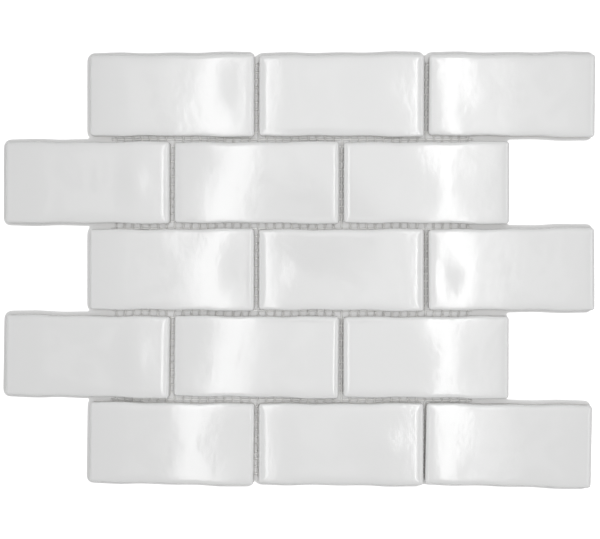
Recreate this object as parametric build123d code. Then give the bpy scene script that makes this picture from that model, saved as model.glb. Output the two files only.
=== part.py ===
from build123d import *
import os
from math import floor

# Mosaic tile sheet: glazed ceramic tiles in running bond, bonded to a net of glass-fibre yarn.
# The sheet lies face up on its net. +X runs along the tiles, +Y up the sheet, +Z out of the glazed faces.
# The origin is the middle of the sheet at the underside of the net.
# Lengths are millimetres and angles are degrees, positive anticlockwise seen from above.

# Tile
TILE_LENGTH = 98.0
TILE_WIDTH = 48.3
TILE_THICKNESS = 8.0
CORNER_RADIUS = 2.0
# How much further out each long edge lies at the right end than in the middle
END_FLARE = 0.3

# Wave of the long edges: its length from swell to swell, and how far swells and hollows leave the edge
WAVE_LENGTH = 31.0
WAVE_SWELL = 0.32
WAVE_HOLLOW = 0.30

# Rounded edge of the glazed face: the radius it is rolled to, and the width of the band that it takes up
CUSHION_RADIUS = 10.0
CUSHION_WIDTH = 4.0

# Keying grooves pressed into the unglazed back
GROOVE_WIDTH = 4.0
GROOVE_DEPTH = 0.6
GROOVE_PITCH = 8.5
GROOVE_MARGIN = 8.0

# Layout of the sheet
ROWS = 5
COLUMNS = 3
JOINT_X = 2.7
JOINT_Y = 3.45
# Tiles laid a little crooked by hand, as (row, column) from the top left
LAY_TURN = {(1, 3): -0.4, (3, 3): 0.35, (4, 1): -0.8, (4, 2): -0.5, (5, 1): -0.75, (5, 3): -1.0}
LAY_SHIFT = {(3, 3): (0.0, 0.45), (5, 3): (-1.4, -0.2)}

# Net: flattened yarns in two layers, and how far its edges lie inside those of the sheet
YARN_WIDTH = 1.2
YARN_FLAT = 0.7
YARN_THICKNESS = 0.4
WARP_PITCH = 5.0
WEFT_PITCH = 4.45
NET_MARGIN_LEFT = 62.4
NET_MARGIN_RIGHT = 71.3
NET_MARGIN_END = 4.0
# Thickness of the glue between the two layers, and between the net and the tiles
GLUE_LINE = 0.02

# Worked out from the sizes above
PITCH_X = TILE_LENGTH + JOINT_X
PITCH_Y = TILE_WIDTH + JOINT_Y
BOND_SHIFT = PITCH_X / 4
SHEET_LENGTH = COLUMNS * PITCH_X - JOINT_X + 2 * BOND_SHIFT
SHEET_WIDTH = ROWS * PITCH_Y - JOINT_Y
NET_LENGTH = SHEET_LENGTH - NET_MARGIN_LEFT - NET_MARGIN_RIGHT
NET_WIDTH = SHEET_WIDTH - 2 * NET_MARGIN_END
NET_MIDDLE_X = (NET_MARGIN_LEFT - NET_MARGIN_RIGHT) / 2
WARP_Z = YARN_THICKNESS + GLUE_LINE
TILE_BACK_Z = WARP_Z + YARN_THICKNESS + GLUE_LINE


def long_edge():
    """The wavy upper edge of a tile, from its left corner to its right one."""
    run = TILE_LENGTH / 2 - CORNER_RADIUS
    half_wave = WAVE_LENGTH / 2
    count = floor((run - half_wave / 2) / half_wave)
    waves = [(-run, 0)]
    for step in range(-count, count + 1):
        if step % 2:
            wave = -WAVE_HOLLOW
        elif step:
            wave = WAVE_SWELL
        else:
            wave = 0
        waves.append((step * half_wave, wave))
    waves.append((run, 0))
    points = [(x, TILE_WIDTH / 2 + END_FLARE * x / run + wave) for x, wave in waves]
    return Spline(*points, tangents=[(1, 0), (1, 0)])


def tile_outline():
    """Face of a tile's outline: wavy long edges, straight short ones and round corners."""
    edge = long_edge()
    drop = Vector(0, CORNER_RADIUS)
    left_arc = CenterArc(edge @ 0 - drop, CORNER_RADIUS, 90, 90)
    right_arc = CenterArc(edge @ 1 - drop, CORNER_RADIUS, 0, 90)
    left_side = Line(left_arc @ 1, (-TILE_LENGTH / 2, 0))
    right_side = Line(right_arc @ 0, (TILE_LENGTH / 2, 0))
    upper = Curve() + [edge, left_arc, right_arc, left_side, right_side]
    return make_face(upper + mirror(upper, Plane.XZ))


def grooves():
    """The keying grooves of one tile's back."""
    room = TILE_WIDTH - 2 * GROOVE_MARGIN - GROOVE_WIDTH
    count = floor(room / GROOVE_PITCH) + 1
    groove = Rectangle(TILE_LENGTH - 2 * GROOVE_MARGIN, GROOVE_WIDTH)
    pattern = Sketch() + GridLocations(0, GROOVE_PITCH, 1, count) * groove
    return extrude(pattern, GROOVE_DEPTH)


def tile():
    """One tile on its back: a larger round-edged slab, trimmed to the outline, less the grooves."""
    overhang = CUSHION_RADIUS - CUSHION_WIDTH
    depth = TILE_THICKNESS + CUSHION_RADIUS
    slab = extrude(Rectangle(TILE_LENGTH + 2 * overhang, TILE_WIDTH + 2 * overhang), depth)
    rim = slab.edges().group_by(Axis.Z)[-1]
    slab = Pos(0, 0, TILE_THICKNESS - depth) * fillet(rim, CUSHION_RADIUS)
    body = extrude(tile_outline(), TILE_THICKNESS)
    return (body & slab) - grooves()


def yarn(length):
    """One flattened yarn along X, with its flat underside at z = 0."""
    flat = YARN_FLAT / 2
    side = YARN_WIDTH / 2
    right = [(flat, 0), (side, YARN_THICKNESS / 2), (flat, YARN_THICKNESS)]
    left = [(-y, z) for y, z in reversed(right)]
    section = make_face(Polyline(*right, *left, close=True))
    return extrude(Plane.YZ * section, length / 2, both=True)


def spread(room, pitch):
    """Places of as many yarns as fit into a width, evenly about its middle."""
    count = floor((room - YARN_WIDTH) / pitch) + 1
    return [pitch * (step - (count - 1) / 2) for step in range(count)]


def weft_yarns():
    """The lower layer of the net, along X."""
    strand = yarn(NET_LENGTH)
    return Compound([Pos(NET_MIDDLE_X, y, 0) * strand for y in spread(NET_WIDTH, WEFT_PITCH)])


def warp_yarns():
    """The upper layer of the net, along Y, which carries the tiles."""
    strand = Rot(0, 0, 90) * yarn(NET_WIDTH)
    places = spread(NET_LENGTH, WARP_PITCH)
    return Compound([Pos(NET_MIDDLE_X + x, 0, WARP_Z) * strand for x in places])


def laid_tile(shape, row, column):
    """A tile in its place on the net, in running bond, with the lay of that place."""
    bond = BOND_SHIFT if row % 2 else -BOND_SHIFT
    shift_x, shift_y = LAY_SHIFT.get((row, column), (0, 0))
    x = (column - (COLUMNS + 1) / 2) * PITCH_X + bond + shift_x
    y = ((ROWS + 1) / 2 - row) * PITCH_Y + shift_y
    return Pos(x, y, TILE_BACK_Z) * Rot(0, 0, LAY_TURN.get((row, column), 0)) * shape


def main():
    os.makedirs("parts", exist_ok=True)
    export_step(weft_yarns(), "parts/net_weft_yarns.step")
    export_step(warp_yarns(), "parts/net_warp_yarns.step")
    shape = tile()
    for row in range(1, ROWS + 1):
        for column in range(1, COLUMNS + 1):
            export_step(laid_tile(shape, row, column), f"parts/tile_row{row}_col{column}.step")


main()
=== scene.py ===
"""Looks of a mosaic tile sheet: fifteen white glazed tiles in running bond, bonded to a net of yarn.

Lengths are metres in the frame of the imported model: +X along the tiles, +Y up the sheet, +Z out of
the glaze.
"""
from math import pi, radians

import bpy
import numpy as np
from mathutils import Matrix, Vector
from mathutils.geometry import delaunay_2d_cdt


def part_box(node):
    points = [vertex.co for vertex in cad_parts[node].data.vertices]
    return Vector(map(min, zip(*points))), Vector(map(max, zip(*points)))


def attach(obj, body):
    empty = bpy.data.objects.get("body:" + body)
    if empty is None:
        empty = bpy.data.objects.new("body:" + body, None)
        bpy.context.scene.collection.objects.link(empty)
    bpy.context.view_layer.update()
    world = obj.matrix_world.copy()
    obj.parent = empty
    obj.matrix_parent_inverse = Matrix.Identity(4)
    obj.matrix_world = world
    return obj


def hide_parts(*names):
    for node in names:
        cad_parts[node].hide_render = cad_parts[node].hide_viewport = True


bl_info = {
    "name": "Mosaic Tile Sheet",
    "version": (1, 0, 0),
    "blender": (4, 5, 0),
    "location": "View3D > Sidebar > Tile Sheet",
    "description": "Lays a sheet of handmade glazed tiles on its net, with a studio to look at it in",
    "category": "Object",
}

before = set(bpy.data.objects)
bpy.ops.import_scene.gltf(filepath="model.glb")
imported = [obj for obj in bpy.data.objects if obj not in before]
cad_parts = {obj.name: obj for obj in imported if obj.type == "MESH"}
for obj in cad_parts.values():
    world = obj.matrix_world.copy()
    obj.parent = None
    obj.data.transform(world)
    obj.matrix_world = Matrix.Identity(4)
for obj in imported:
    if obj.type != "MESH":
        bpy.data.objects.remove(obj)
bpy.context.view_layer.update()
SHEET_BODY = "root"
MM = 0.001

# Lay of the sheet, with tiles as (row, column) from the top left: turns in degrees, shifts in millimetres
ROWS = 5
COLUMNS = 3
LAY_TURN = {(1, 3): -0.4, (3, 3): 0.35, (4, 1): -0.8, (4, 2): -0.5, (5, 1): -0.75, (5, 3): -1.0}
LAY_SHIFT = {(3, 3): (0.0, 0.45), (5, 3): (-1.4, -0.2)}

# Drop of a face towards its left and right ends, as (drop, reach, drop, reach) in millimetres
FACE_CROWN = (0.30, 26.0, 0.10, 20.0)
FACE_CROWNS = {
    (1, 1): (0.30, 26.0, 0.04, 16.0),
    (3, 1): (0.30, 26.0, 0.04, 16.0),
    (1, 3): (0.08, 20.0, 0.10, 20.0),
    (3, 3): (0.08, 20.0, 0.10, 20.0),
    (5, 3): (0.02, 14.0, 0.10, 20.0),
}
# Swells and hollows that the hand left in a face, as (x, y, reach in x, reach in y, height) in millimetres
FACE_MARKS = {
    (1, 1): [(42, 5, 8, 11, -0.36), (22, 16, 8, 10, 0.05)],
    (1, 2): [(20, 3, 8, 11, 0.24), (-27, 0, 9, 16, 0.08)],
    (1, 3): [(-37, -14, 10, 9, 0.16)],
    (2, 1): [(28, 1, 5, 9, 0.20)],
    (2, 2): [(-50, 20, 22, 16, -0.75)],
    (2, 3): [(15, -6, 10, 10, 0.14), (6, 0, 18, 30, 0.16), (-14, 20, 9, 7, 0.12)],
    (3, 1): [(48, 3, 13, 13, -0.55), (8, 22, 12, 9, -0.22)],
    (3, 2): [(-21, -3, 8, 9, 0.30), (-30, 14, 8, 5, -0.06)],
    (3, 3): [(-40, -5, 7, 8, -0.38)],
    (4, 1): [(28, 3, 5, 11, 0.24)],
    (4, 2): [(-50, 20, 22, 18, -0.65), (-22, -12, 5, 8, 0.06)],
    (4, 3): [(17, -1, 9, 9, 0.10), (8, 0, 16, 30, 0.28), (-12, 20, 9, 7, 0.16)],
    (5, 1): [(50, 0, 24, 40, -0.90), (10, 0, 9, 8, 0.10)],
    (5, 2): [(22, 4, 8, 10, 0.22)],
    (5, 3): [(-38, -16, 10, 9, 0.18)],
}

# How far in from a tile's outline the lines of its mesh lie near the edge, in millimetres
RIM_LINES = (0.0, 0.04, 0.14, 0.3, 0.5, 0.72, 0.95, 1.25, 1.6, 2.0, 2.4, 2.8, 3.2, 3.6, 4.0, 4.4, 4.8, 5.2)
FACE_PITCH = 1.4 * MM
# How sharply the rolled bands of two sides meet at a corner
MITRE = 6
# How a back is divided round its grooves: only inside its outline, with points this near in metres as one
INSIDE_ONLY = 1
NEAR_POINTS = 1e-7
# Rings of points down a tile's side, as shares of its height
SIDE_RINGS = (0.75, 0.5, 0.25)
# Side of the sheet of paper on the floor, in metres
FLOOR_SIZE = 6.0

# Patterns in the finishes, in cells a metre
GLAZE_RUN = 90.0
GLAZE_MOTTLE = 45.0
GLAZE_PEEL = 260.0
CLAY_GRIT = 1600.0
YARN_FILAMENT = 6000.0
YARN_DUST = 220.0
# Scale of the filaments' pattern along a yarn, against 1 across it, so that they are drawn out along it
FILAMENT_STRETCH = 0.04
# How much the thin glaze's colour shows in the thin band and in the mottle
THIN_SHARE = 0.8
MOTTLE_SHARE = 0.12
# How much of the darker yarn the filaments and the dust show
FILAMENT_SHARE = 0.5
DUST_SHARE = 0.4
# Brightness of the clay's specks and of the darker yarn, in times of the colours themselves
CLAY_SPECK = 0.88
YARN_SHADE = 0.93
# Height of the bumps in the glaze and the clay, and how much of it the peel and the grit take
GLAZE_BUMP = 0.06 * MM
PEEL_SHARE = 0.7
GRIT_SHARE = 2.0
YARN_BUMP = 0.08 * MM
# Where the glaze ends on the sides, as a share of the height, and how it runs there
GLAZE_LINE = 0.25
RUN_HEIGHT = 3.0 * MM
RUN_EDGE = (1.2 * MM, 1.8 * MM)
# How far below the top the glaze is thin, and where it is full again
THIN_BAND = (3.2 * MM, 0.9 * MM)
# Gloss: index of refraction of the glaze, roughness of the dull finishes, and what dust adds on the yarn
GLAZE_IOR = 1.5
CLAY_ROUGHNESS = 0.85
PAPER_ROUGHNESS = 0.9
YARN_ROUGHNESS = 0.45
DUST_ROUGHNESS = 0.3

# Wandering of the yarns: wave lengths along a weft and a warp, how much of it the long waves take,
# how far in radians a warp's twist strays from its neighbour's, and the seeds that it is drawn from
WEFT_WAVES = (67.0 * MM, 23.0 * MM)
SLOW_SHARE = 0.6
WARP_WAVE = 90.0 * MM
TWIST_STRAY = 0.25
WEFT_SEED = 5
WARP_SEED = 6
# Points of the mesh along a yarn, and sides of its section
WEFT_POINTS = 109
WEFT_SIDES = 6
POINTS_PER_TWIST = 4
STRAND_SIDES = 4

# Contact shadow on the floor: how far it reaches, which way it opens, and the openness at which it is gone
SHADOW_REACH = 3.7 * MM
SHADOW_SIDE = (0.75, -0.22, 0.62)
SHADOW_SAMPLES = 64
SHADOW_EDGE = (0.87, 0.96)
SHADOW_CORE = (0.30, 0.60)
EDGE_SHARE = 0.85

# Dome of soft light: heights between which it grows, and its bright patch with where that fades
DOME_RISE = (0.10, 0.60)
PATCH_PLACE = (0.01, 0.09, 1.0)
PATCH_STRETCH = (1.0, 0.55, 1.0)
PATCH_FADE = (0.05, 0.26)

# Lamps over the sheet as name, place in x, height, width, length and brightness in times of white:
# two strips, each a bright core in a soft band, two dimmer ones at the sides, and a wide one above
LAMPS = (
    ("left_core", -0.118, 0.9, 0.056, 0.8, 5.6),
    ("left_band", -0.120, 0.9, 0.092, 0.8, 1.4),
    ("right_core", 0.158, 0.9, 0.044, 0.8, 7.2),
    ("right_band", 0.175, 0.9, 0.100, 0.8, 1.6),
    ("left_side", -0.700, 0.9, 0.150, 0.8, 1.6),
    ("right_side", 0.600, 0.9, 0.180, 0.8, 2.4),
    ("overhead", 0.010, 0.9, 0.360, 0.6, 2.9),
)
# Lamps that light the joints but show no reflection in the glaze
SCREENED_LAMPS = ("overhead",)

# Grey card beside the camera: place, half axes, turn in degrees, points of its rim, grey and cover
CARD_PLACE = (-0.006, 0.046, 0.95)
CARD_HALF = (0.088, 0.050)
CARD_TURN = -32.0
CARD_POINTS = 64
CARD_GREY = 0.6
CARD_COVER = 0.9

# Camera: place in metres, turn in degrees and width of the sensor in millimetres
CAMERA_PLACE = (0.02235, 0.00745, 0.8985)
CAMERA_TURN = (-0.467, 1.391, 0.091)
SENSOR_WIDTH = 36.0


def length_of(name, description, millimetres):
    """A length property with its default in millimetres."""
    return bpy.props.FloatProperty(
        name=name, description=description, default=millimetres * MM, unit="LENGTH", precision=5)


def share_of(name, description, default, most=1.0):
    """A plain number property from nothing to the most that it may be."""
    return bpy.props.FloatProperty(name=name, description=description, default=default, min=0.0, max=most)


def colour_of(name, description, default):
    """A colour property, linear and without alpha."""
    return bpy.props.FloatVectorProperty(
        name=name, description=description, default=default, size=3, subtype="COLOR", min=0.0, max=1.0)


class TileProperties(bpy.types.PropertyGroup):
    """Sizes of one tile and of its place in the bond."""
    length: length_of("Length", "Size of a tile along the sheet", 98.0)
    width: length_of("Width", "Size of a tile across the sheet", 48.3)
    thickness: length_of("Thickness", "Height of a tile without the net", 8.0)
    corner: length_of("Corner radius", "Rounding of a tile's corners seen from above", 2.0)
    flare: length_of("End flare", "How much further out the long edges lie at the right end", 0.3)
    wave: length_of("Wave length", "Distance between two swells of a long edge", 31.0)
    swell: length_of("Swell", "How far a swell leaves the long edge", 0.32)
    hollow: length_of("Hollow", "How far a hollow leaves the long edge", 0.30)
    shoulder: length_of("Shoulder radius", "Radius that the face first bends down to near its edges", 35.0)
    shoulder_width: length_of("Shoulder width", "Width of the bent band round the face", 5.2)
    cushion: length_of("Cushion radius", "Radius that the edges of the face are rolled to", 7.0)
    cushion_width: length_of("Cushion width", "Width of the rolled band, outermost in the bent one", 2.4)
    arris: length_of("Arris radius", "Rounding between the face and the sides", 0.8)
    unevenness: share_of("Unevenness", "How much of the hand's marks the faces show", 1.0, 2.0)
    ripple: length_of("Ripple", "Height of the soft ripples in the glaze", 0.022)
    ripple_pitch: length_of("Ripple pitch", "Distance between two ripples in the glaze", 7.0)
    foot: length_of("Foot bevel", "Bevel round the back", 0.35)
    joint_x: length_of("Upright joint", "Gap between the tiles of one row", 2.7)
    joint_y: length_of("Long joint", "Gap between two rows", 3.45)
    groove_length: length_of("Groove length", "Length of the keying grooves in the back", 82.0)
    groove_width: length_of("Groove width", "Width of the keying grooves in the back", 4.0)
    groove_depth: length_of("Groove depth", "Depth of the keying grooves in the back", 0.6)
    groove_pitch: length_of("Groove pitch", "Distance between two keying grooves", 8.5)
    grooves: bpy.props.IntProperty(name="Grooves", description="Keying grooves in a back", default=4, min=0)


class NetProperties(bpy.types.PropertyGroup):
    """Sizes of the net's yarns."""
    yarn_width: length_of("Weft width", "Width of a flat weft yarn", 1.2)
    yarn_thickness: length_of("Weft thickness", "Thickness of a flat weft yarn", 0.4)
    strand_width: length_of("Strand width", "Width of each of the two strands of a warp", 0.68)
    strand_thickness: length_of("Strand thickness", "Thickness of each strand of a warp", 0.2)
    twist: length_of("Twist", "How far the strands of a warp swing to the side", 0.38)
    warp_pitch: length_of("Warp pitch", "Distance between two warps", 5.0)
    weft_pitch: length_of("Weft pitch", "Distance between two wefts", 4.45)
    sway: length_of("Sway", "How far a yarn wanders off its line", 0.12)


class FinishProperties(bpy.types.PropertyGroup):
    """Colours and gloss of the glaze, the clay and the yarn."""
    glaze: colour_of("Glaze", "White of the glaze", (0.880, 0.882, 0.880))
    glaze_thin: colour_of("Thin glaze", "Colour where the glaze has run thin", (0.87, 0.87, 0.86))
    clay: colour_of("Clay", "Fired body where no glaze covers it", (0.87, 0.84, 0.79))
    yarn: colour_of("Yarn", "Coated glass yarn", (0.97, 0.97, 0.96))
    gloss: share_of("Glaze roughness", "Roughness of the fired glaze", 0.088)


class StageProperties(bpy.types.PropertyGroup):
    """Light, floor and camera."""
    floor: colour_of("Floor", "Paper that the sheet lies on", (0.64, 0.64, 0.64))
    lift: share_of("Floor lift", "How much brighter than its light the open floor is seen", 1.0)
    dome: share_of("Dome", "Brightness of the dome of soft light", 0.27, 2.0)
    zenith: share_of("Zenith", "How much brighter the dome is straight above the sheet", 1.8, 5.0)
    lamps: share_of("Lamps", "Brightness of the lamps, in times of what they are set to", 1.0, 10.0)
    lens: bpy.props.FloatProperty(
        name="Lens", description="Focal length in millimetres", default=90.07, subtype="DISTANCE_CAMERA")


class TileSheetProperties(bpy.types.PropertyGroup):
    """Everything about the sheet that a user may change."""
    tile: bpy.props.PointerProperty(type=TileProperties)
    net: bpy.props.PointerProperty(type=NetProperties)
    finish: bpy.props.PointerProperty(type=FinishProperties)
    stage: bpy.props.PointerProperty(type=StageProperties)


class Term:
    """A shader value. Arithmetic on it adds Math nodes."""

    def __init__(self, graph, socket):
        self.graph = graph
        self.socket = socket

    def maths(self, operation, first, second):
        return self.graph.node("ShaderNodeMath", {"operation": operation}, {0: first, 1: second})

    def __add__(self, other):
        return self.maths("ADD", self, other)

    def __sub__(self, other):
        return self.maths("SUBTRACT", self, other)

    def __rsub__(self, other):
        return self.maths("SUBTRACT", other, self)

    def __mul__(self, other):
        return self.maths("MULTIPLY", self, other)

    __radd__ = __add__
    __rmul__ = __mul__


class Graph:
    """A node tree that is written node by node."""

    def __init__(self, tree):
        self.tree = tree
        tree.nodes.clear()

    def node(self, kind, settings=None, sockets=None, output=0):
        """Adds a node, sets it up, fills or links its sockets, and gives back one of its outputs."""
        made = self.tree.nodes.new(kind)
        for name, value in (settings or {}).items():
            setattr(made, name, value)
        for name, value in (sockets or {}).items():
            if isinstance(value, Term):
                self.tree.links.new(value.socket, made.inputs[name])
            else:
                made.inputs[name].default_value = value
        if not made.outputs:
            return None
        return Term(self, made.outputs[output])

    def noise(self, place, scale, detail=2.0, roughness=0.5):
        """Noise about 0.5 at a place in the object, with its scale in cells a metre."""
        sockets = {"Vector": place, "Scale": scale, "Detail": detail, "Roughness": roughness}
        return self.node("ShaderNodeTexNoise", None, sockets)

    def step(self, value, low, high):
        """A smooth step from 0 at low to 1 at high."""
        settings = {"interpolation_type": "SMOOTHSTEP"}
        sockets = {"Value": value, "From Min": low, "From Max": high}
        return self.node("ShaderNodeMapRange", settings, sockets)

    def blend(self, mask, first, second):
        """The first colour where the mask is 0 and the second where it is 1."""
        settings = {"data_type": "RGBA"}
        return self.node("ShaderNodeMix", settings, {"Factor": mask, 6: first, 7: second}, 2)

    def stretch(self, place, scale):
        """The place, scaled along the three axes."""
        return self.node("ShaderNodeVectorMath", {"operation": "MULTIPLY"}, {0: place, 1: scale})

    def bump(self, height, distance):
        """A normal roughened by a height of which 1 is that distance."""
        return self.node("ShaderNodeBump", None, {"Height": height, "Distance": distance, "Strength": 1.0})

    def surface(self, sockets):
        """A Principled surface, put out by the material."""
        shader = self.node("ShaderNodeBsdfPrincipled", None, sockets)
        self.node("ShaderNodeOutputMaterial", None, {"Surface": shader})


def new_material(name):
    """An empty material and the graph that fills it."""
    material = bpy.data.materials.new(name)
    material.use_nodes = True
    return material, Graph(material.node_tree)


def rgba(colour):
    """A colour property as a shader socket takes it."""
    return (*colour, 1.0)


def tile_material(finish, tile):
    """Glossy white glaze over the face and down the sides to a wavy line, and bare clay below it."""
    material, graph = new_material("white_glaze")
    place = graph.node("ShaderNodeTexCoord", None, None, "Object")
    height = graph.node("ShaderNodeSeparateXYZ", None, {"Vector": place}, 2)
    run = graph.noise(place, GLAZE_RUN)
    mottle = graph.noise(place, GLAZE_MOTTLE, 3.0)
    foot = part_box("tile_row1_col1")[0][2]
    line = foot + GLAZE_LINE * tile.thickness
    glazed = graph.step(height + RUN_HEIGHT * run, line + RUN_EDGE[0], line + RUN_EDGE[1])
    top = foot + tile.thickness
    thin = 1 - graph.step(height, top - THIN_BAND[0], top - THIN_BAND[1])
    faded = thin * THIN_SHARE + mottle * MOTTLE_SHARE
    white = graph.blend(faded, rgba(finish.glaze), rgba(finish.glaze_thin))
    grit = graph.noise(place, CLAY_GRIT, 4.0)
    speckle = graph.blend(grit, rgba(finish.clay), rgba([CLAY_SPECK * part for part in finish.clay]))
    peel = graph.noise(place, GLAZE_PEEL)
    skin = peel * PEEL_SHARE * glazed + grit * GRIT_SHARE * (1 - glazed)
    graph.surface({
        "Base Color": graph.blend(glazed, speckle, white),
        "Roughness": CLAY_ROUGHNESS - glazed * (CLAY_ROUGHNESS - finish.gloss),
        "IOR": GLAZE_IOR,
        "Normal": graph.bump(skin, GLAZE_BUMP),
    })
    return material


def yarn_material(finish, name, along):
    """Coated glass yarn: fine filaments along it, and a little sheen from the coating."""
    material, graph = new_material(name)
    place = graph.node("ShaderNodeTexCoord", None, None, "Object")
    filaments = graph.noise(graph.stretch(place, along), YARN_FILAMENT)
    dust = graph.noise(place, YARN_DUST)
    dark = [YARN_SHADE * part for part in finish.yarn]
    worn = filaments * FILAMENT_SHARE + dust * DUST_SHARE
    graph.surface({
        "Base Color": graph.blend(worn, rgba(finish.yarn), rgba(dark)),
        "Roughness": YARN_ROUGHNESS + DUST_ROUGHNESS * dust,
        "Normal": graph.bump(filaments, YARN_BUMP),
    })
    return material


def new_piece(name, points, faces, material):
    """A smooth mesh object from its points and faces."""
    mesh = bpy.data.meshes.new(name)
    mesh.from_pydata(points, [], faces)
    mesh.polygons.foreach_set("use_smooth", [True] * len(mesh.polygons))
    mesh.materials.append(material)
    mesh.validate()
    piece = bpy.data.objects.new(name, mesh)
    bpy.context.scene.collection.objects.link(piece)
    return piece


def add_to_sheet(piece, node):
    """Puts a piece on the sheet in the place of a CAD node."""
    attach(piece, SHEET_BODY)
    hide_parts(node)


def edge_wave(x, tile):
    """How far the long edge swells out at x, smoothly from crest to crest."""
    run = tile.length / 2 - tile.corner
    half = tile.wave / 2
    places = np.array([-run, -2 * half, -half, 0.0, half, 2 * half, run])
    heights = np.array([0.0, tile.swell, -tile.hollow, 0.0, -tile.hollow, tile.swell, 0.0])
    x = np.clip(x, -run, run)
    left = np.clip(np.searchsorted(places, x, "right") - 1, 0, len(places) - 2)
    share = (x - places[left]) / (places[left + 1] - places[left])
    share = share * share * (3 - 2 * share)
    return heights[left] + (heights[left + 1] - heights[left]) * share


def half_width(x, tile):
    """Half the width of a tile at x, before its corners are rounded."""
    run = tile.length / 2 - tile.corner
    return tile.width / 2 + tile.flare * np.clip(x / run, -1, 1) + edge_wave(x, tile)


def mesh_lines(half):
    """Places of mesh lines across a tile of that half size, close together near both edges."""
    rim = half - np.array(RIM_LINES) * MM
    inner = rim[-1]
    count = int(round(2 * inner / FACE_PITCH))
    middle = np.linspace(-inner, inner, count + 1)[1:-1]
    return np.concatenate([-rim, middle, rim[::-1]])


def arc_drop(reach, radius):
    """How far a round edge has dropped at a reach beyond the start of its rounding."""
    return radius - np.sqrt(np.maximum(radius ** 2 - reach ** 2, 0))


def rolled_drop(side_x, side_y, width, radius):
    """How far a band along the sides has dropped, at distances from the nearest end and long edge."""
    over_x = np.maximum(width - side_x, 0)
    over_y = np.maximum(width - side_y, 0)
    return arc_drop((over_x ** MITRE + over_y ** MITRE) ** (1 / MITRE), radius)


def spline_weights(share):
    """Weights of the four nearest grid lines of a smooth spline, at a share between the inner two."""
    rest = 1 - share
    return (rest ** 3 / 6, (3 * share ** 3 - 6 * share ** 2 + 4) / 6,
            (3 * rest ** 3 - 6 * rest ** 2 + 4) / 6, share ** 3 / 6)


def ripples(x, y, tile, row, column):
    """Soft random ripples over a face, the same for one tile in each run."""
    across = (x + tile.length) / tile.ripple_pitch
    along = (y + tile.width) / tile.ripple_pitch
    i = np.floor(across).astype(int)
    j = np.floor(along).astype(int)
    chance = np.random.default_rng(10 * row + column)
    heights = chance.normal(size=(i.max() + 4, j.max() + 4))
    total = np.zeros_like(x)
    for a, weight_a in enumerate(spline_weights(across - i)):
        for b, weight_b in enumerate(spline_weights(along - j)):
            total += weight_a * weight_b * heights[i + a, j + b]
    return tile.ripple * total


def face_relief(x, y, tile, row, column):
    """The handmade unevenness of one face, never above its highest point."""
    left_drop, left_reach, right_drop, right_reach = FACE_CROWNS.get((row, column), FACE_CROWN)
    to_left = np.clip(1 - (x + tile.length / 2) / (left_reach * MM), 0, 1)
    to_right = np.clip(1 - (tile.length / 2 - x) / (right_reach * MM), 0, 1)
    relief = -left_drop * to_left ** 2 - right_drop * to_right ** 2
    for mark_x, mark_y, reach_x, reach_y, height in FACE_MARKS[row, column]:
        away = ((x / MM - mark_x) / reach_x) ** 2 + ((y / MM - mark_y) / reach_y) ** 2
        relief = relief + height * np.exp(-away / 2)
    relief = tile.unevenness * MM * relief + ripples(x, y, tile, row, column)
    return relief - relief.max()


def tile_face(tile, row, column):
    """Points of one glazed face as a grid, on a tile whose back is at z = 0."""
    run = tile.length / 2 - tile.corner
    lines_x = mesh_lines(tile.length / 2)
    lines_y = mesh_lines(tile.width / 2) / (tile.width / 2)
    x, share = np.meshgrid(lines_x, lines_y, indexing="ij")
    straight = half_width(x, tile)
    into_corner = np.clip(np.abs(x) - run, 0, tile.corner)
    y = share * (straight - arc_drop(into_corner, tile.corner))
    side_x = tile.length / 2 - np.abs(x)
    side_y = straight - np.abs(y)
    roll = rolled_drop(side_x, side_y, tile.shoulder_width, tile.shoulder)
    roll += rolled_drop(side_x, side_y, tile.cushion_width, tile.cushion)
    to_sides = np.minimum(side_x, side_y)
    corner_y = np.maximum(np.abs(y) - (straight - tile.corner), 0)
    in_corner = (into_corner > 0) & (corner_y > 0)
    inset = np.where(in_corner, tile.corner - np.hypot(into_corner, corner_y), to_sides)
    arris = arc_drop(np.clip(tile.arris - inset, 0, tile.arris), tile.arris)
    z = tile.thickness - roll - arris + face_relief(x, y, tile, row, column)
    return np.stack([x, y, z], axis=-1)


def grid_faces(rows, columns):
    """Quads of a grid of points that is stored row by row."""
    index = np.arange(rows * columns).reshape(rows, columns)
    corners = [index[:-1, :-1], index[1:, :-1], index[1:, 1:], index[:-1, 1:]]
    return np.stack(corners, axis=-1).reshape(-1, 4)


def grid_border(rows, columns):
    """Indices of a grid's border points, anticlockwise seen from above."""
    index = np.arange(rows * columns).reshape(rows, columns)
    return np.concatenate([index[:-1, 0], index[-1, :-1], index[:0:-1, -1], index[0, :0:-1]])


def ring_faces(upper, lower):
    """Quads between two rings of point indices, facing outwards."""
    return np.stack([upper, lower, np.roll(lower, -1), np.roll(upper, -1)], axis=-1)


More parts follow.
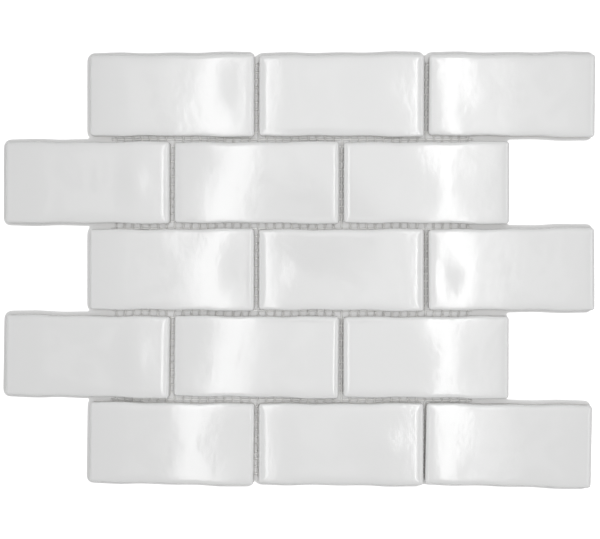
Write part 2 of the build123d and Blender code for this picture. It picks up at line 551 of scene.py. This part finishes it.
def back_faces(ring, first, tile):
    """Points and faces of a back at z = 0 inside a ring of points, with its keying grooves pressed in."""
    half_x = tile.groove_length / 2
    half_y = tile.groove_width / 2
    corners = ((-half_x, -half_y), (half_x, -half_y), (half_x, half_y), (-half_x, half_y))
    outline = [Vector(point[:2]) for point in ring]
    places = list(outline)
    areas = [list(range(len(outline)))]
    for step in range(tile.grooves):
        middle = tile.groove_pitch * (step - (tile.grooves - 1) / 2)
        start = len(places)
        places += [Vector((x, middle + y)) for x, y in corners]
        areas.append([start, start + 1, start + 2, start + 3])
    flat, _, cells, origins, _, owners = delaunay_2d_cdt(places, [], areas, INSIDE_ONLY, NEAR_POINTS)
    number = {origin[0]: index for index, origin in enumerate(origins) if origin}
    points = [(place.x, place.y, 0.0) for place in places[len(outline):]]
    floors = [(x, y, tile.groove_depth) for x, y, _ in points]
    back = {number[index]: first[index] for index in range(len(outline))}
    start = first[-1] + 1
    for index in range(len(points)):
        back[number[len(outline) + index]] = start + index
    faces = []
    for cell, owner in zip(cells, owners):
        if len(owner) == 1:
            faces.append([back[index] for index in reversed(cell)])
    for groove in range(tile.grooves):
        edge = start + 4 * groove + np.arange(4)
        ground = edge + len(points)
        faces += ring_faces(edge, ground).tolist()
        faces.append(ground[::-1].tolist())
    return points + floors, faces


def lay(points, tile, row, column):
    """Points of a tile moved to its place in the bond, on the net."""
    pitch_x = tile.length + tile.joint_x
    pitch_y = tile.width + tile.joint_y
    bond = pitch_x / 4 if row % 2 else -pitch_x / 4
    shift_x, shift_y = LAY_SHIFT.get((row, column), (0, 0))
    turn = radians(LAY_TURN.get((row, column), 0))
    x = (column - (COLUMNS + 1) / 2) * pitch_x + bond + shift_x * MM
    y = ((ROWS + 1) / 2 - row) * pitch_y + shift_y * MM
    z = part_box(f"tile_row{row}_col{column}")[0][2]
    turned_x = points[:, 0] * np.cos(turn) - points[:, 1] * np.sin(turn)
    turned_y = points[:, 0] * np.sin(turn) + points[:, 1] * np.cos(turn)
    return np.stack([turned_x + x, turned_y + y, points[:, 2] + z], axis=-1)


def build_tile(tile, row, column, material):
    """One whole tile: glazed face, sides, bevelled foot and grooved back."""
    face = tile_face(tile, row, column)
    rows, columns = face.shape[:2]
    points = face.reshape(-1, 3)
    faces = grid_faces(rows, columns).tolist()
    upper = grid_border(rows, columns)
    rim = points[upper]
    centre_pull = 1 - tile.foot / np.maximum(np.hypot(rim[:, 0], rim[:, 1]), tile.foot)
    levels = [(share, 1.0) for share in (*SIDE_RINGS, tile.foot / tile.thickness)]
    levels.append((0.0, centre_pull))
    for level, pull in levels:
        ring = rim.copy()
        ring[:, 2] = rim[:, 2] * level
        ring[:, :2] *= np.asarray(pull).reshape(-1, 1)
        lower = len(points) + np.arange(len(ring))
        points = np.concatenate([points, ring])
        faces += ring_faces(upper, lower).tolist()
        upper = lower
    extra, back = back_faces(points[upper], upper, tile)
    points = np.concatenate([points, np.array(extra)])
    faces += back
    return new_piece(f"glazed_tile_{row}_{column}", lay(points, tile, row, column), faces, material)


def yarn_tube(path, across, width, thickness, sides):
    """Points and faces of a flat yarn along a path, with its width in one direction and closed ends."""
    angles = 2 * pi * np.arange(sides) / sides
    offsets = np.outer(np.cos(angles) * width / 2, across)
    offsets[:, 2] += np.sin(angles) * thickness / 2
    points = (path[:, None, :] + offsets[None, :, :]).reshape(-1, 3)
    index = np.arange(len(points)).reshape(len(path), sides)
    ahead = np.roll(index, -1, axis=1)
    quads = np.stack([index[:-1], ahead[:-1], ahead[1:], index[1:]], axis=-1).reshape(-1, 4)
    return points, quads, [index[0, ::-1], index[-1]]


def join_tubes(tubes):
    """Points and faces of many tubes as those of one mesh."""
    points = []
    faces = []
    count = 0
    for tube, quads, ends in tubes:
        points.append(tube)
        faces += (quads + count).tolist()
        faces += [(end + count).tolist() for end in ends]
        count += len(tube)
    return np.concatenate(points), faces


def yarn_places(low, high, width, pitch):
    """Places of as many yarns as fit between two edges, evenly about the middle."""
    count = int((high - low - width) / pitch + 1e-6) + 1
    return (low + high) / 2 + pitch * (np.arange(count) - (count - 1) / 2)


def build_weft(net, material):
    """The lower layer of the net: flat yarns along X that wander a little."""
    low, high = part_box("net_weft_yarns")
    chance = np.random.default_rng(WEFT_SEED)
    x = np.linspace(low[0], high[0], WEFT_POINTS)
    tubes = []
    for y in yarn_places(low[1], high[1], net.yarn_width, net.weft_pitch):
        phase = chance.uniform(0, 2 * pi, 2)
        room = max(0.0, min(net.sway, y - low[1] - net.yarn_width / 2, high[1] - y - net.yarn_width / 2))
        slow = np.sin(2 * pi * x / WEFT_WAVES[0] + phase[0])
        quick = np.sin(2 * pi * x / WEFT_WAVES[1] + phase[1])
        wander = room * (SLOW_SHARE * slow + (1 - SLOW_SHARE) * quick)
        path = np.stack([x, y + wander, np.full_like(x, low[2] + net.yarn_thickness / 2)], axis=-1)
        tubes.append(yarn_tube(path, (0, 1, 0), net.yarn_width, net.yarn_thickness, WEFT_SIDES))
    return new_piece("weft_yarns", *join_tubes(tubes), material)


def build_warp(net, material):
    """The upper layer of the net: pairs of strands along Y that twist round each other."""
    low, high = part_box("net_warp_yarns")
    chance = np.random.default_rng(WARP_SEED)
    steps = int(round((high[1] - low[1]) / net.weft_pitch * POINTS_PER_TWIST))
    y = np.linspace(low[1], high[1], steps + 1)
    middle = (low[2] + high[2]) / 2
    rise = (high[2] - low[2] - net.strand_thickness) / 2
    tubes = []
    for x in yarn_places(low[0], high[0], net.yarn_width, net.warp_pitch):
        turn = pi * y / net.weft_pitch + chance.uniform(-TWIST_STRAY, TWIST_STRAY)
        wander = net.sway * np.sin(2 * pi * y / WARP_WAVE + chance.uniform(0, 2 * pi))
        for side in (1, -1):
            swing = side * net.twist * np.cos(turn)
            path = np.stack([x + wander + swing, y, middle + side * rise * np.sin(turn)], axis=-1)
            tubes.append(yarn_tube(path, (-1, 0, 0), net.strand_width, net.strand_thickness, STRAND_SIDES))
    return new_piece("warp_yarns", *join_tubes(tubes), material)


def build_floor(stage):
    """A sheet of white paper under the object, whose open parts are seen as white."""
    material, graph = new_material("floor_paper")
    path = {name: graph.node("ShaderNodeLightPath", None, None, name)
            for name in ("Is Camera Ray", "Is Glossy Ray", "Is Transmission Ray")}
    seen = path["Is Camera Ray"] + path["Is Glossy Ray"] + path["Is Transmission Ray"]
    side = graph.node("ShaderNodeCombineXYZ", None, dict(zip("XYZ", SHADOW_SIDE)))
    settings = {"samples": SHADOW_SAMPLES, "only_local": False}
    sockets = {"Distance": SHADOW_REACH, "Normal": side}
    open_sky = graph.node("ShaderNodeAmbientOcclusion", settings, sockets, "AO")
    edge = graph.step(open_sky, *SHADOW_EDGE)
    core = graph.step(open_sky, *SHADOW_CORE)
    white = EDGE_SHARE * edge + (1 - EDGE_SHARE) * core
    graph.surface({
        "Base Color": rgba(stage.floor),
        "Roughness": PAPER_ROUGHNESS,
        "Emission Color": graph.blend(white * seen, (0, 0, 0, 1), (1, 1, 1, 1)),
        "Emission Strength": stage.lift,
    })
    half = FLOOR_SIZE / 2
    corners = [(-half, -half, 0), (half, -half, 0), (half, half, 0), (-half, half, 0)]
    floor = new_piece("floor", corners, [(0, 1, 2, 3)], material)


def build_dome(stage):
    """Soft light from above, brightest over the sheet and dark at the horizon, seen as white."""
    world = bpy.data.worlds.new("studio")
    bpy.context.scene.world = world
    world.use_nodes = True
    graph = Graph(world.node_tree)
    seen = graph.node("ShaderNodeLightPath", None, None, "Is Camera Ray")
    direction = graph.node("ShaderNodeTexCoord", None, None, "Generated")
    height = graph.node("ShaderNodeSeparateXYZ", None, {"Vector": direction}, 2)
    squeezed = graph.stretch(direction, PATCH_STRETCH)
    settings = {"operation": "DISTANCE"}
    off_patch = graph.node("ShaderNodeVectorMath", settings, {0: squeezed, 1: PATCH_PLACE}, "Value")
    patch = 1 - graph.step(off_patch, *PATCH_FADE)
    light = stage.dome * graph.step(height, *DOME_RISE) + stage.zenith * patch
    strength = light * (1 - seen) + seen
    background = graph.node("ShaderNodeBackground", None, {"Color": (1, 1, 1, 1), "Strength": strength})
    graph.node("ShaderNodeOutputWorld", None, {"Surface": background})


def build_lamp(name, x, height, width, length, brightness):
    """A flat lamp over the sheet that shines straight down."""
    light = bpy.data.lights.new(name, "AREA")
    light.shape = "RECTANGLE"
    light.size = width
    light.size_y = length
    light.energy = brightness * pi * width * length
    lamp = bpy.data.objects.new(name, light)
    lamp.location = (x, 0, height)
    lamp.visible_camera = False
    lamp.visible_glossy = name not in SCREENED_LAMPS
    bpy.context.scene.collection.objects.link(lamp)


def build_camera(stage):
    """The camera, looking straight down at the sheet."""
    camera = bpy.data.cameras.new("camera")
    camera.lens = stage.lens
    camera.sensor_width = SENSOR_WIDTH
    camera.sensor_fit = "HORIZONTAL"
    eye = bpy.data.objects.new("camera", camera)
    eye.location = CAMERA_PLACE
    eye.rotation_euler = [radians(angle) for angle in CAMERA_TURN]
    bpy.context.scene.collection.objects.link(eye)
    bpy.context.scene.camera = eye


def build_card():
    """A round grey card over the sheet beside the camera, of which the glaze shows a faint reflection."""
    material, graph = new_material("grey_card")
    graph.surface({"Base Color": rgba([CARD_GREY] * 3), "Roughness": PAPER_ROUGHNESS, "Alpha": CARD_COVER})
    angles = 2 * pi * np.arange(CARD_POINTS) / CARD_POINTS
    turn = radians(CARD_TURN)
    long_way = CARD_HALF[0] * np.cos(angles)
    short_way = CARD_HALF[1] * np.sin(angles)
    x = CARD_PLACE[0] + long_way * np.cos(turn) - short_way * np.sin(turn)
    y = CARD_PLACE[1] + long_way * np.sin(turn) + short_way * np.cos(turn)
    rim = np.stack([x, y, np.full(CARD_POINTS, CARD_PLACE[2])], axis=-1)
    card = new_piece("grey_card", rim, [list(range(CARD_POINTS))[::-1]], material)
    card.visible_camera = False


class TILESHEET_OT_lay_tiles(bpy.types.Operator):
    """Lay the fifteen glazed tiles in running bond"""
    bl_idname = "tilesheet.lay_tiles"
    bl_label = "Lay Tiles"

    def execute(self, context):
        sheet = context.scene.tile_sheet
        material = tile_material(sheet.finish, sheet.tile)
        for row in range(1, ROWS + 1):
            for column in range(1, COLUMNS + 1):
                piece = build_tile(sheet.tile, row, column, material)
                add_to_sheet(piece, f"tile_row{row}_col{column}")
        return {"FINISHED"}


class TILESHEET_OT_weave_net(bpy.types.Operator):
    """Weave the net that the tiles are bonded to"""
    bl_idname = "tilesheet.weave_net"
    bl_label = "Weave Net"

    def execute(self, context):
        sheet = context.scene.tile_sheet
        weft = build_weft(sheet.net, yarn_material(sheet.finish, "weft_yarn", (FILAMENT_STRETCH, 1, 1)))
        warp = build_warp(sheet.net, yarn_material(sheet.finish, "warp_yarn", (1, FILAMENT_STRETCH, 1)))
        add_to_sheet(weft, "net_weft_yarns")
        add_to_sheet(warp, "net_warp_yarns")
        return {"FINISHED"}


class TILESHEET_OT_set_stage(bpy.types.Operator):
    """Set up the floor, the light and the camera"""
    bl_idname = "tilesheet.set_stage"
    bl_label = "Set Stage"

    def execute(self, context):
        stage = context.scene.tile_sheet.stage
        build_floor(stage)
        build_dome(stage)
        for name, x, height, width, length, brightness in LAMPS:
            build_lamp(name, x, height, width, length, brightness * stage.lamps)
        build_card()
        build_camera(stage)
        context.scene.view_settings.view_transform = "Standard"
        return {"FINISHED"}


OPERATORS = (TILESHEET_OT_set_stage, TILESHEET_OT_lay_tiles, TILESHEET_OT_weave_net)


class TILESHEET_PT_sheet(bpy.types.Panel):
    """Sizes, finishes and steps of the tile sheet"""
    bl_idname = "TILESHEET_PT_sheet"
    bl_label = "Tile Sheet"
    bl_space_type = "VIEW_3D"
    bl_region_type = "UI"
    bl_category = "Tile Sheet"

    def draw(self, context):
        sheet = context.scene.tile_sheet
        for title, group in (("Tile", sheet.tile), ("Net", sheet.net),
                             ("Finish", sheet.finish), ("Stage", sheet.stage)):
            box = self.layout.box()
            box.label(text=title)
            for name in group.__annotations__:
                box.prop(group, name)
        for operator in OPERATORS:
            self.layout.operator(operator.bl_idname)


CLASSES = (TileProperties, NetProperties, FinishProperties, StageProperties, TileSheetProperties,
           *OPERATORS, TILESHEET_PT_sheet)


def register():
    for each in CLASSES:
        bpy.utils.register_class(each)
    bpy.types.Scene.tile_sheet = bpy.props.PointerProperty(type=TileSheetProperties)


def unregister():
    del bpy.types.Scene.tile_sheet
    for each in reversed(CLASSES):
        bpy.utils.unregister_class(each)


def main():
    register()
    bpy.ops.tilesheet.set_stage()
    bpy.ops.tilesheet.lay_tiles()
    bpy.ops.tilesheet.weave_net()


if __name__ == "__main__":
    main()
